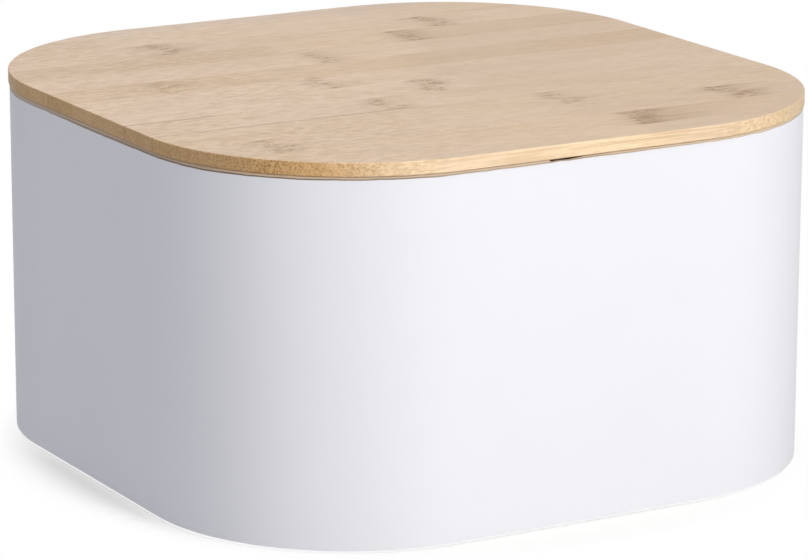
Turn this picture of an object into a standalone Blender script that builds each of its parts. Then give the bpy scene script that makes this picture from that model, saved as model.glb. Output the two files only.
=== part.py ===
"""A bread box: a rounded-square box of coated sheet steel with a lift-off lid of glued bamboo strips.

Sizes are in metres and +Z is up. The front faces -Y, and the origin is on the table, under the middle
of the box.
"""

import math

import bmesh
import bpy
from mathutils import Matrix, Vector

# Sheet-steel wall
BODY_SIDE = 0.3326  # outer width and depth
BODY_CORNER_RADIUS = 0.1000  # outside of a corner, seen from above
BODY_HEIGHT = 0.1726  # from the wall's foot to the top of its rolled rim
SHEET = 0.0006  # thickness of the steel
RIM_RADIUS = 0.0017  # outside of the rim, which is rolled inwards
RIM_ROLL = math.radians(255)  # how far round the rim is rolled
FOOT_BEND_RADIUS = 0.0015  # outside of the bend at the wall's foot
FLANGE_WIDTH = 0.0060  # how far the wall's foot turns in under the base

# Pressed base, which lies on the wall's turned-in foot
PAN_FLAT_EDGE = 0.0085  # width of the flat edge round the raised middle
PAN_STEP_RUN = 0.0030  # width of the sloping step up to the middle
PAN_RAISE = 0.0020  # height of the raised middle over the edge

# Non-slip pads
PAD_RADIUS = 0.0090
PAD_EDGE_RADIUS = 0.0008  # rounding of a pad's lower edge
PAD_PROUD = 0.0008  # how far the pads lift the wall off the table
PAD_FROM_STEP = 0.0100  # from a pad's edge to the step in the base, at the corner

# Bamboo lid board
LID_OVERHANG = 0.0013  # how far the board stands out past the wall
LID_CORNER_EXTRA = 0.0035  # how much rounder the board's corners are than the wall's
BOARD_THICKNESS = 0.0063
BOARD_EDGE_RADIUS = 0.0009  # eased edge of the board
FRONT_STRIP_WIDTH = 0.0170  # what is left of the strip at the front edge
BACK_STRIP_WIDTH = 0.0146  # what is left of the strip at the back edge
FULL_STRIPS = 11  # equal strips between those two
GLUE_LINE = 0.0001

# Battens under the lid, and their screws
BATTEN_WIDTH = 0.0160
BATTEN_HEIGHT = 0.0090
BATTEN_EDGE_RADIUS = 0.0015
BATTEN_FROM_WALL = 0.0583  # from the wall's outer face to the middle of a batten
LID_PLAY = 0.0012  # between a batten's ends and the rolled rim
SCREW_HEAD_RADIUS = 0.0032
SCREW_HEAD_EDGE = 0.0003  # straight edge of the countersunk head
SCREW_RADIUS = 0.0015
SCREW_LENGTH = 0.0125
SCREW_POINT = 0.0030  # length of the screw's point
SCREW_SINK = 0.0003  # depth of the screw's head under the batten's face
STRIPS_PER_SCREW = 3  # from one screw to the next
RECESS_WIDTH = 0.0009  # arms of the cross in a screw's head
RECESS_SPAN = 0.0034
RECESS_DEPTH = 0.0012

# Fits
GAP = 0.0003  # between pieces that touch
CUTTER_MARGIN = 0.0100  # how far a cutter reaches past what it cuts

# Facets
CORNER_STEPS = 18
ROUND_STEPS = 20
RIM_STEPS = 10
BEND_STEPS = 4
EDGE_STEPS = 2
SMOOTH_ANGLE = math.radians(35)
FLAT_ANGLE = math.radians(1)  # faces that meet at less than this are one face
MERGE_DISTANCE = 0.00001

# What follows from the sizes above
PAN_INSET = FOOT_BEND_RADIUS  # the base stops where the bend begins
PAN_EDGE_Z = PAD_PROUD + SHEET + GAP
PAN_MIDDLE_Z = PAN_EDGE_Z + PAN_RAISE
BOARD_Z = PAD_PROUD + BODY_HEIGHT + GAP
LID_SIDE = BODY_SIDE + 2 * LID_OVERHANG
LID_CORNER_RADIUS = BODY_CORNER_RADIUS + LID_CORNER_EXTRA
STRIP_WIDTH = (LID_SIDE - FRONT_STRIP_WIDTH - BACK_STRIP_WIDTH) / FULL_STRIPS
BATTEN_TOP_Z = BOARD_Z - GAP
BATTEN_LOW_Z = BATTEN_TOP_Z - BATTEN_HEIGHT
BATTEN_X = BODY_SIDE / 2 - BATTEN_FROM_WALL  # to either side of the middle

# Finishes: colour, roughness, metallic
WHITE_COAT = ((0.90, 0.90, 0.91, 1.0), 0.32, 0.0)
LIGHT_BAMBOO = ((0.74, 0.58, 0.41, 1.0), 0.50, 0.0)
DEEP_BAMBOO = ((0.66, 0.49, 0.33, 1.0), 0.52, 0.0)
BATTEN_BAMBOO = ((0.70, 0.53, 0.36, 1.0), 0.55, 0.0)
ZINC = ((0.72, 0.73, 0.75, 1.0), 0.30, 1.0)
PAD_RUBBER = ((0.70, 0.70, 0.69, 1.0), 0.75, 0.0)


def clear_scene():
    """Removes what the scene holds."""
    for old in list(bpy.data.objects):
        bpy.data.objects.remove(old)


def make_collection(name):
    """Makes a collection in the scene."""
    collection = bpy.data.collections.new(name)
    bpy.context.scene.collection.children.link(collection)
    return collection


def make_empty(name, place, collection):
    """Makes the empty that carries one half of the box."""
    empty = bpy.data.objects.new(name, None)
    empty.location = place
    collection.objects.link(empty)
    return empty


def make_material(name, finish):
    """Makes a Principled material from its colour, roughness and metallic value."""
    colour, roughness, metallic = finish
    material = bpy.data.materials.new(name)
    material.use_nodes = True
    shader = material.node_tree.nodes["Principled BSDF"]
    shader.inputs["Base Color"].default_value = colour
    shader.inputs["Roughness"].default_value = roughness
    shader.inputs["Metallic"].default_value = metallic
    return material


def make_piece(name, mesh, holder, place, finish):
    """Makes one sub-part at a place in the world, carried by its holder."""
    piece = bpy.data.objects.new(name, mesh)
    holder.users_collection[0].objects.link(piece)
    piece.parent = holder
    piece.location = Vector(place) - holder.location
    mesh.shade_smooth()
    mesh.set_sharp_from_angle(angle=SMOOTH_ANGLE)
    if not mesh.materials:
        mesh.materials.append(make_material(name, finish))
    return piece


def make_cutter(name, mesh, collection):
    """Makes a shape that only cuts others, and is no part of the box."""
    cutter = bpy.data.objects.new(name, mesh)
    collection.objects.link(cutter)
    cutter.hide_render = True
    cutter.display_type = "WIRE"
    return cutter


def cut(piece, cutter):
    """Cuts a shape out of a piece."""
    boolean = piece.modifiers.new(cutter.name, "BOOLEAN")
    boolean.operation = "DIFFERENCE"
    boolean.solver = "EXACT"
    boolean.object = cutter


def settle_shading(piece):
    """Keeps the flat faces of a cut piece looking flat."""
    normals = piece.modifiers.new("normals", "WEIGHTED_NORMAL")
    normals.keep_sharp = True


def thicken(piece, side):
    """Gives an open surface the sheet's thickness: side 1 adds it in front of its faces, -1 behind."""
    solidify = piece.modifiers.new("sheet", "SOLIDIFY")
    solidify.thickness = SHEET
    solidify.offset = side
    solidify.use_even_offset = True


def turn(thing):
    """Turns a profile about its own Z axis."""
    screw = thing.modifiers.new("turn", "SCREW")
    screw.steps = ROUND_STEPS
    screw.render_steps = ROUND_STEPS
    screw.use_merge_vertices = True
    screw.merge_threshold = MERGE_DISTANCE


def arc(centre, radius, start, sweep, steps):
    """Points along an arc, both ends included."""
    angles = [start + sweep * step / steps for step in range(steps + 1)]
    return [
        (centre[0] + radius * math.cos(angle), centre[1] + radius * math.sin(angle))
        for angle in angles
    ]


def rounded_square(side, radius):
    """Points of a rounded square about the origin, anticlockwise seen from above."""
    middle = side / 2 - radius
    quarter = math.pi / 2
    points = []
    for corner, (sign_x, sign_y) in enumerate(((1, 1), (-1, 1), (-1, -1), (1, -1))):
        centre = (sign_x * middle, sign_y * middle)
        points += arc(centre, radius, corner * quarter, quarter, CORNER_STEPS)
    return points


def make_line(name, points, closed):
    """Makes a flat curve through the points."""
    curve = bpy.data.curves.new(name, "CURVE")
    curve.dimensions = "2D"
    curve.fill_mode = "NONE"
    spline = curve.splines.new("POLY")
    spline.points.add(len(points) - 1)
    for knot, (x, y) in zip(spline.points, points):
        knot.co = (x, y, 0.0, 1.0)
    spline.use_cyclic_u = closed
    line = bpy.data.objects.new(name, curve)
    bpy.context.scene.collection.objects.link(line)
    return line


def mesh_from(thing):
    """Makes a welded mesh of an object as its modifiers leave it, and removes the object."""
    bpy.context.view_layer.update()
    graph = bpy.context.evaluated_depsgraph_get()
    mesh = bpy.data.meshes.new_from_object(thing.evaluated_get(graph))
    shape = bmesh.new()
    shape.from_mesh(mesh)
    bmesh.ops.remove_doubles(shape, verts=shape.verts, dist=MERGE_DISTANCE)
    shape.to_mesh(mesh)
    shape.free()
    bpy.data.objects.remove(thing)
    return mesh


def profile_mesh(name, points):
    """Makes a mesh of edges through (radius, height) points, ready to be turned."""
    mesh = bpy.data.meshes.new(name)
    edges = [(index, index + 1) for index in range(len(points) - 1)]
    mesh.from_pydata([(radius, 0.0, height) for radius, height in points], edges, [])
    return mesh


def plate_mesh(side, radius, height):
    """Makes a flat rounded-square plate that stands on its own origin."""
    outline = make_line("outline", rounded_square(side, radius), True)
    outline.data.fill_mode = "BOTH"
    outline.data.extrude = height / 2
    mesh = mesh_from(outline)
    mesh.transform(Matrix.Translation((0, 0, height / 2)))
    shape = bmesh.new()
    shape.from_mesh(mesh)
    bmesh.ops.dissolve_limit(shape, angle_limit=FLAT_ANGLE, verts=shape.verts, edges=shape.edges)
    shape.to_mesh(mesh)
    shape.free()
    return mesh


def ease_edges(mesh, radius):
    """Rounds the upper and lower edge of a plate."""
    shape = bmesh.new()
    shape.from_mesh(mesh)
    shape.normal_update()
    edges = [edge for edge in shape.edges if edge.calc_face_angle() > SMOOTH_ANGLE]
    bmesh.ops.bevel(shape, geom=edges, offset=radius, segments=EDGE_STEPS, profile=0.5, affect="EDGES")
    shape.to_mesh(mesh)
    shape.free()


def slice_mesh(mesh, axis, low, high):
    """Makes a copy of a closed mesh that holds what lies between two planes across an axis."""
    shape = bmesh.new()
    shape.from_mesh(mesh)
    for limit, side in ((low, -1), (high, 1)):
        everything = shape.verts[:] + shape.edges[:] + shape.faces[:]
        cut_line = bmesh.ops.bisect_plane(
            shape, geom=everything, dist=MERGE_DISTANCE, clear_outer=True,
            plane_co=axis * limit, plane_no=axis * side,
        )["geom_cut"]
        edges = [item for item in cut_line if isinstance(item, bmesh.types.BMEdge)]
        if edges:
            bmesh.ops.edgeloop_fill(shape, edges=edges)
    bmesh.ops.recalc_face_normals(shape, faces=shape.faces)
    sliced = bpy.data.meshes.new(mesh.name)
    shape.to_mesh(sliced)
    shape.free()
    return sliced


def strip_spans():
    """Front and back of each strip along Y, from the front strip to the back one.

    The glue lines are left out. The two outer faces lie a little past the board, where they cut nothing.
    """
    first = -LID_SIDE / 2 + FRONT_STRIP_WIDTH
    joints = [first + STRIP_WIDTH * count for count in range(FULL_STRIPS + 1)]
    fronts = [-LID_SIDE / 2 - GLUE_LINE] + [joint + GLUE_LINE / 2 for joint in joints]
    backs = [joint - GLUE_LINE / 2 for joint in joints] + [LID_SIDE / 2 + GLUE_LINE]
    return list(zip(fronts, backs))


def wall_section():
    """Points of the wall's section, outer face, from the flange up to the end of the rolled rim.

    The first number is the distance in from the wall's outer face, the second the height.
    """
    bend = arc(
        (FOOT_BEND_RADIUS, FOOT_BEND_RADIUS), FOOT_BEND_RADIUS, -math.pi / 2, -math.pi / 2, BEND_STEPS)
    rim = arc((RIM_RADIUS, BODY_HEIGHT - RIM_RADIUS), RIM_RADIUS, math.pi, -RIM_ROLL, RIM_STEPS)
    return [(FLANGE_WIDTH, 0.0)] + bend + rim


def make_side_wall(box):
    """The wall: the section of its outer face swept round the rounded square, then thickened inwards."""
    path = make_line("wall_path", rounded_square(BODY_SIDE, BODY_CORNER_RADIUS), True)
    section = make_line("wall_section", wall_section(), False)
    path.data.bevel_mode = "OBJECT"
    path.data.bevel_object = section
    mesh = mesh_from(path)
    bpy.data.objects.remove(section)
    wall = make_piece("side_wall", mesh, box, (0, 0, PAD_PROUD), WHITE_COAT)
    thicken(wall, -1)


def make_base_pan(box):
    """The base: a flat sheet with its middle pressed up, thickened upwards."""
    outline = make_line(
        "pan_outline",
        rounded_square(BODY_SIDE - 2 * PAN_INSET, BODY_CORNER_RADIUS - PAN_INSET),
        True,
    )
    outline.data.fill_mode = "BOTH"
    mesh = mesh_from(outline)
    shape = bmesh.new()
    shape.from_mesh(mesh)
    bmesh.ops.dissolve_limit(shape, angle_limit=FLAT_ANGLE, verts=shape.verts, edges=shape.edges)
    middle = shape.faces[:]
    bmesh.ops.inset_individual(shape, faces=middle, thickness=PAN_FLAT_EDGE, use_even_offset=True)
    bmesh.ops.inset_individual(
        shape, faces=middle, thickness=PAN_STEP_RUN, depth=PAN_RAISE, use_even_offset=True)
    shape.to_mesh(mesh)
    shape.free()
    pan = make_piece("base_pan", mesh, box, (0, 0, PAN_EDGE_Z), WHITE_COAT)
    thicken(pan, 1)


def make_pads(box):
    """The four pads, stuck under the raised middle of the base near its corners."""
    height = PAN_MIDDLE_Z - GAP
    edge = arc(
        (PAD_RADIUS - PAD_EDGE_RADIUS, PAD_EDGE_RADIUS), PAD_EDGE_RADIUS, 0, -math.pi / 2, EDGE_STEPS)
    profile = [(0.0, height), (PAD_RADIUS, height)] + edge + [(0.0, 0.0)]
    middle_radius = BODY_CORNER_RADIUS - PAN_INSET - PAN_FLAT_EDGE - PAN_STEP_RUN
    reach = middle_radius - PAD_FROM_STEP - PAD_RADIUS
    place = BODY_SIDE / 2 - BODY_CORNER_RADIUS + reach * math.cos(math.pi / 4)
    for end, y in (("front", -place), ("back", place)):
        for hand, x in (("left", -place), ("right", place)):
            name = f"foot_{end}_{hand}"
            pad = make_piece(name, profile_mesh(name, profile), box, (x, y, 0), PAD_RUBBER)
            turn(pad)


def screw_profile(extra, below):
    """(radius, height) points of a screw that points up, each side moved out by extra.

    The head's face is at height 0, or lower by below.
    """
    head_top = SCREW_HEAD_EDGE + SCREW_HEAD_RADIUS - SCREW_RADIUS
    return [
        (0.0, SCREW_LENGTH + extra),
        (SCREW_RADIUS + extra, SCREW_LENGTH - SCREW_POINT + extra),
        (SCREW_RADIUS + extra, head_top + extra),
        (SCREW_HEAD_RADIUS + extra, SCREW_HEAD_EDGE + extra),
        (SCREW_HEAD_RADIUS + extra, -below),
        (0.0, -below),
    ]


def screw_mesh(cutters):
    """The screw's mesh, with the cross in its head."""
    blank = bpy.data.objects.new("screw_blank", profile_mesh("screw", screw_profile(0.0, 0.0)))
    bpy.context.scene.collection.objects.link(blank)
    turn(blank)
    for name, size in (
        ("recess_across", (RECESS_SPAN, RECESS_WIDTH, 2 * RECESS_DEPTH)),
        ("recess_along", (RECESS_WIDTH, RECESS_SPAN, 2 * RECESS_DEPTH)),
    ):
        mesh = bpy.data.meshes.new(name)
        shape = bmesh.new()
        bmesh.ops.create_cube(shape, size=1.0, matrix=Matrix.Diagonal((*size, 1.0)))
        shape.to_mesh(mesh)
        shape.free()
        cut(blank, make_cutter(name, mesh, cutters))
    return mesh_from(blank)


def make_screws(lid, cutters):
    """The screws in the battens, and the holes that they need, each in the middle of a strip.

    Gives back each screw hole with the hand of its batten and the place of its strip in the board.
    """
    mesh = screw_mesh(cutters)
    hole = bpy.data.objects.new("hole_blank", profile_mesh("hole", screw_profile(GAP, CUTTER_MARGIN)))
    bpy.context.scene.collection.objects.link(hole)
    turn(hole)
    hole_mesh = mesh_from(hole)
    spans = strip_spans()
    holes = []
    for hand, x in (("left", -BATTEN_X), ("right", BATTEN_X)):
        for row, end in enumerate(("front", "middle", "back"), start=-1):
            strip = len(spans) // 2 + row * STRIPS_PER_SCREW
            place = (x, sum(spans[strip]) / 2, BATTEN_LOW_Z + SCREW_SINK)
            name = f"batten_screw_{hand}_{end}"
            screw = make_piece(name, mesh, lid, place, ZINC)
            cutter = make_cutter(f"{name}_hole", hole_mesh, cutters)
            cutter.parent = screw
            holes.append((hand, strip, cutter))
    return holes


def make_battens(lid, holes):
    """The battens, cut from a plug that fits inside the rolled rim."""
    inset = 2 * RIM_RADIUS + LID_PLAY
    plug = plate_mesh(BODY_SIDE - 2 * inset, BODY_CORNER_RADIUS - inset, BATTEN_HEIGHT)
    for hand, x in (("left", -BATTEN_X), ("right", BATTEN_X)):
        mesh = slice_mesh(plug, Vector((1, 0, 0)), x - BATTEN_WIDTH / 2, x + BATTEN_WIDTH / 2)
        mesh.transform(Matrix.Translation((-x, 0, 0)))
        batten = make_piece(f"lid_batten_{hand}", mesh, lid, (x, 0, BATTEN_LOW_Z), BATTEN_BAMBOO)
        bevel = batten.modifiers.new("eased edges", "BEVEL")
        bevel.width = BATTEN_EDGE_RADIUS
        bevel.segments = EDGE_STEPS
        bevel.limit_method = "ANGLE"
        bevel.angle_limit = SMOOTH_ANGLE
        for hole_hand, _, hole in holes:
            if hole_hand == hand:
                cut(batten, hole)
        settle_shading(batten)


def make_strips(lid, holes):
    """The glued strips of the lid board, numbered from the front."""
    board = plate_mesh(LID_SIDE, LID_CORNER_RADIUS, BOARD_THICKNESS)
    ease_edges(board, BOARD_EDGE_RADIUS)
    for strip, (front, back) in enumerate(strip_spans()):
        mesh = slice_mesh(board, Vector((0, 1, 0)), front, back)
        middle = (front + back) / 2
        mesh.transform(Matrix.Translation((0, -middle, 0)))
        finish = DEEP_BAMBOO if strip % 2 else LIGHT_BAMBOO
        plank = make_piece(f"lid_strip_{strip + 1:02d}", mesh, lid, (0, middle, BOARD_Z), finish)
        for _, hole_strip, hole in holes:
            if hole_strip == strip:
                cut(plank, hole)
        settle_shading(plank)


def main():
    """Builds the bread box."""
    clear_scene()
    pieces = make_collection("bread_box")
    cutters = make_collection("cutters")
    box = make_empty("box", (0, 0, 0), pieces)
    lid = make_empty("lid", (0, 0, BOARD_Z), pieces)
    make_side_wall(box)
    make_base_pan(box)
    make_pads(box)
    holes = make_screws(lid, cutters)
    make_battens(lid, holes)
    make_strips(lid, holes)


main()
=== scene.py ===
"""Bread box: the fine surface, finishes, studio and camera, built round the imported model.

Sizes are in metres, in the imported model's frame: +Z is up and the front faces -Y. The box is coated sheet
steel, and its lift-off lid is a board of glued bamboo strips on two battens.
"""

from __future__ import annotations

import logging
import math
from collections.abc import Callable, Sequence
from dataclasses import dataclass, field
from enum import Enum

import bmesh
import bpy
from mathutils import Matrix, Vector


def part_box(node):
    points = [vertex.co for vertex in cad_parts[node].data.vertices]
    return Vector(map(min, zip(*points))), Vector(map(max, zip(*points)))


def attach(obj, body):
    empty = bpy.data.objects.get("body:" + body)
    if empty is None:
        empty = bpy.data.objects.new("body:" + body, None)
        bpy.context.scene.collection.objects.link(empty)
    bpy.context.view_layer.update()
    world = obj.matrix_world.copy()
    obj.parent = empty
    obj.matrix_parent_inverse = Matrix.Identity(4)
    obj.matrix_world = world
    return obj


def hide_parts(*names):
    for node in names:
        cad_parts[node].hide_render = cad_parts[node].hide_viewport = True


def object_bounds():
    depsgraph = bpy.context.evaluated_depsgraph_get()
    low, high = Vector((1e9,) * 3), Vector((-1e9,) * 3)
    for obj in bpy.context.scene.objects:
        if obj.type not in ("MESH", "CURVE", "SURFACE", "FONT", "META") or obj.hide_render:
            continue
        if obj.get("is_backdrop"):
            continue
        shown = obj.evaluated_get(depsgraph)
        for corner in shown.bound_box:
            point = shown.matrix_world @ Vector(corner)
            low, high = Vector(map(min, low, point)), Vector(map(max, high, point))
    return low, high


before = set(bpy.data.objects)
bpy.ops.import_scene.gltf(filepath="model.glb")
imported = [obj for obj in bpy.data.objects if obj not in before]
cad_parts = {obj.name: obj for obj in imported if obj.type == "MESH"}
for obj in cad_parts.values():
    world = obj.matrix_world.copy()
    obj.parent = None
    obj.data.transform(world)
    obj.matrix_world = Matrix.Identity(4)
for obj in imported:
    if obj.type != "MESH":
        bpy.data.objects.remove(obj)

log = logging.getLogger("bread_box")

Colour = tuple[float, float, float]
Shape = bmesh.types.BMesh
Thing = bpy.types.Object
Material = bpy.types.Material
Socket = bpy.types.NodeSocket
Sockets = dict[str, Socket]

AXIS_X = Vector((1.0, 0.0, 0.0))
AXIS_Y = Vector((0.0, 1.0, 0.0))
AXIS_Z = Vector((0.0, 0.0, 1.0))
QUARTER = math.pi / 2
MERGE = 0.00001  # points nearer than this are one
SMOOTH_ANGLE = math.radians(35)  # edges that bend more stay sharp


class Body(str, Enum):
    """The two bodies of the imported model."""

    BOX = "box"
    LID = "lid"


class Slot(str, Enum):
    """The record's material slots."""

    WHITE_COAT = "white_coat"
    BAMBOO = "bamboo"
    BATTEN = "batten_bamboo"
    ZINC = "zinc"
    RUBBER = "pad_rubber"


class Hand(Enum):
    """The two hands of the lid, as the sign of X."""

    LEFT = -1
    RIGHT = 1


# Mesh tools


class Tracer:
    """Draws a shape by carrying its tip along: first a point, which draws a section, then the section."""

    def __init__(self, start: Vector) -> None:
        """Starts at one point."""
        self.shape = bmesh.new()
        self.tip: list = [self.shape.verts.new(start)]

    def push(self, way: Vector) -> None:
        """Carries the tip along a straight line."""
        self._carry(Vector(), AXIS_Z, 0.0, 1, way)

    def turn(self, centre: Vector, axis: Vector, angle: float, steps: int) -> None:
        """Carries the tip round an axis, by an angle in radians and in so many facets."""
        self._carry(centre, axis, angle, steps, Vector())

    def take_all(self) -> None:
        """Makes everything drawn so far the tip."""
        self.tip = self.shape.verts[:] + self.shape.edges[:]

    def _carry(self, centre: Vector, axis: Vector, angle: float, steps: int, way: Vector) -> None:
        """Carries the tip with one spin, which leaves a surface or a line behind it."""
        made = bmesh.ops.spin(
            self.shape, geom=self.tip, cent=centre, axis=axis, angle=angle, steps=steps, dvec=way,
            use_merge=False, use_normal_flip=False, use_duplicate=False,
        )
        self.tip = [item for item in made["geom_last"] if not isinstance(item, bmesh.types.BMFace)]


@dataclass
class RoundedSquare:
    """A rounded square about the Z axis, which a section is swept round.

    Attributes:
        side: outer width and depth.
        radius: outer radius of its corners.
        steps: facets of one corner.
    """

    side: float
    radius: float
    steps: int = 40

    def point(self, inset: float, height: float) -> Vector:
        """Gives a section's point, so far inside the outline, at the front end of the right side."""
        return Vector((self.side / 2 - inset, self.radius - self.side / 2, height))

    def sweep(self, section: Tracer) -> Shape:
        """Sweeps the whole section round the outline and closes the ring.

        Args:
            section: a tracer that has drawn the section.

        Returns:
            The open surface.
        """
        middle = self.side / 2 - self.radius
        section.take_all()
        way = AXIS_Y.copy()
        for sign_x, sign_y in ((1, 1), (-1, 1), (-1, -1), (1, -1)):
            section.push(way * 2 * middle)
            section.turn(Vector((sign_x * middle, sign_y * middle, 0.0)), AXIS_Z, QUARTER, self.steps)
            way = Vector((-way.y, way.x, 0.0))
        bmesh.ops.remove_doubles(section.shape, verts=section.shape.verts, dist=MERGE)
        return section.shape

    def solid(self, low: float, high: float, eased: tuple[float, float], steps: int) -> Shape:
        """Makes a closed plate with rounded edges.

        Args:
            low: height of its lower face.
            high: height of its upper face.
            eased: radii of its lower and upper edges.
            steps: facets of one edge.

        Returns:
            The closed plate.
        """
        under, over = eased
        section = Tracer(self.point(under, low))
        section.turn(self.point(under, low + under), AXIS_Y, -QUARTER, steps)
        section.push(AXIS_Z * (high - low - under - over))
        section.turn(self.point(over, high - over), AXIS_Y, -QUARTER, steps)
        plate = self.sweep(section)
        bmesh.ops.holes_fill(plate, edges=plate.edges, sides=0)
        bmesh.ops.recalc_face_normals(plate, faces=plate.faces)
        return plate


def slice_between(shape: Shape, axis: Vector, low: float, high: float) -> Shape:
    """Copies what lies between two planes across an axis, and closes the cuts.

    Args:
        shape: a closed mesh, which stays as it is.
        axis: the direction across the planes.
        low: where the first plane is along the axis.
        high: where the second plane is.

    Returns:
        The closed slice.
    """
    part = shape.copy()
    for place, way in ((low, -1.0), (high, 1.0)):
        everything = part.verts[:] + part.edges[:] + part.faces[:]
        cut = bmesh.ops.bisect_plane(
            part, geom=everything, dist=MERGE, clear_outer=True, plane_co=axis * place, plane_no=axis * way,
        )["geom_cut"]
        edges = [item for item in cut if isinstance(item, bmesh.types.BMEdge)]
        if edges:
            bmesh.ops.edgeloop_fill(part, edges=edges)
        for edge in edges:
            edge.smooth = False
    bmesh.ops.recalc_face_normals(part, faces=part.faces)
    return part


def turned(points: Sequence[tuple[float, float]], steps: int) -> Shape:
    """Turns a profile about the Z axis.

    Args:
        points: (radius, height) points, both ends on the axis.
        steps: facets all the way round.

    Returns:
        The closed turned shape.
    """
    shape = bmesh.new()
    line = [shape.verts.new((radius, 0.0, height)) for radius, height in points]
    edges = [shape.edges.new(pair) for pair in zip(line, line[1:])]
    bmesh.ops.spin(
        shape, geom=line + edges, cent=(0, 0, 0), axis=AXIS_Z, angle=2 * math.pi, steps=steps,
        use_merge=True, use_duplicate=False,
    )
    bmesh.ops.remove_doubles(shape, verts=shape.verts, dist=MERGE)
    bmesh.ops.recalc_face_normals(shape, faces=shape.faces)
    return shape


def arc(centre: tuple[float, float], radius: float, start: float, sweep: float, steps: int) -> list:
    """Points of an arc in a profile, both ends included, its angles in radians."""
    angles = [start + sweep * step / steps for step in range(steps + 1)]
    return [(centre[0] + radius * math.cos(angle), centre[1] + radius * math.sin(angle)) for angle in angles]


def face_out(shape: Shape, outwards: Callable[[bmesh.types.BMFace], float]) -> None:
    """Turns an open surface's normals to its outside.

    Args:
        shape: the surface.
        outwards: gives a number over 0 where a face already looks the right way.
    """
    bmesh.ops.recalc_face_normals(shape, faces=shape.faces)
    if outwards(max(shape.faces, key=lambda face: face.calc_area())) < 0:
        bmesh.ops.reverse_faces(shape, faces=shape.faces)


def score(shape: Shape, places: Sequence[float], chosen: Callable[[Vector], bool]) -> None:
    """Cuts lines across X into some faces of a surface.

    Args:
        shape: the surface.
        places: where the lines are along X.
        chosen: says of a face's middle whether the face is cut.
    """
    for place in places:
        faces = [face for face in shape.faces if chosen(face.calc_center_median())]
        edges = {edge for face in faces for edge in face.edges}
        verts = {vert for face in faces for vert in face.verts}
        bmesh.ops.bisect_plane(
            shape, geom=[*verts, *edges, *faces], dist=MERGE, plane_co=AXIS_X * place, plane_no=AXIS_X)


def make_object(name: str, shape: Shape) -> Thing:
    """Puts a mesh in the scene.

    Args:
        name: the object's name.
        shape: its mesh, which is freed.

    Returns:
        The new object, at the origin.
    """
    mesh = bpy.data.meshes.new(name)
    shape.to_mesh(mesh)
    shape.free()
    thing = bpy.data.objects.new(name, mesh)
    bpy.context.scene.collection.objects.link(thing)
    return thing


def cut_out(piece: Thing, cutter: Thing) -> None:
    """Adds a cut to a piece.

    Args:
        piece: what is cut.
        cutter: the shape that is taken out of it.
    """
    boolean = piece.modifiers.new(cutter.name, "BOOLEAN")
    boolean.operation = "DIFFERENCE"
    boolean.solver = "EXACT"
    boolean.object = cutter


def settle(piece: Thing) -> None:
    """Makes a piece's modifiers part of its mesh, smooths it and keeps its flat faces flat.

    Args:
        piece: the piece, which has no modifier left afterwards.
    """
    normals = piece.modifiers.new("normals", "WEIGHTED_NORMAL")
    normals.keep_sharp = True
    for last in (False, True):
        normals.show_viewport = last
        bpy.context.view_layer.update()
        graph = bpy.context.evaluated_depsgraph_get()
        mesh = bpy.data.meshes.new_from_object(piece.evaluated_get(graph))
        if last:
            piece.modifiers.clear()
        else:
            cuts = [edge.index for edge in mesh.edges if edge.use_edge_sharp]
            mesh.shade_smooth()
            mesh.set_sharp_from_angle(angle=SMOOTH_ANGLE)
            for index in cuts:
                mesh.edges[index].use_edge_sharp = True
            for modifier in [other for other in piece.modifiers if other != normals]:
                piece.modifiers.remove(modifier)
        old = piece.data
        piece.data = mesh
        mesh.name = piece.name
        bpy.data.meshes.remove(old)


def hand_over(piece: Thing, body: Body, slot: Slot, material: Material, *nodes: str) -> None:
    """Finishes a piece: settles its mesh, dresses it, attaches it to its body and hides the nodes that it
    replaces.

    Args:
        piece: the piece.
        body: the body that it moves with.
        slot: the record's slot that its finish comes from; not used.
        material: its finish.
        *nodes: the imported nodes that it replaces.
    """
    settle(piece)
    piece.data.materials.clear()
    piece.data.materials.append(material)
    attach(piece, body.value)
    if nodes:
        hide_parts(*nodes)
    log.info("%s: %d faces, on %s", piece.name, len(piece.data.polygons), body.value)


# Node tools

MIX_FACTOR, MIX_FIRST, MIX_SECOND, MIX_RESULT = 0, 6, 7, 2  # the colour sockets of a Mix node


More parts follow.
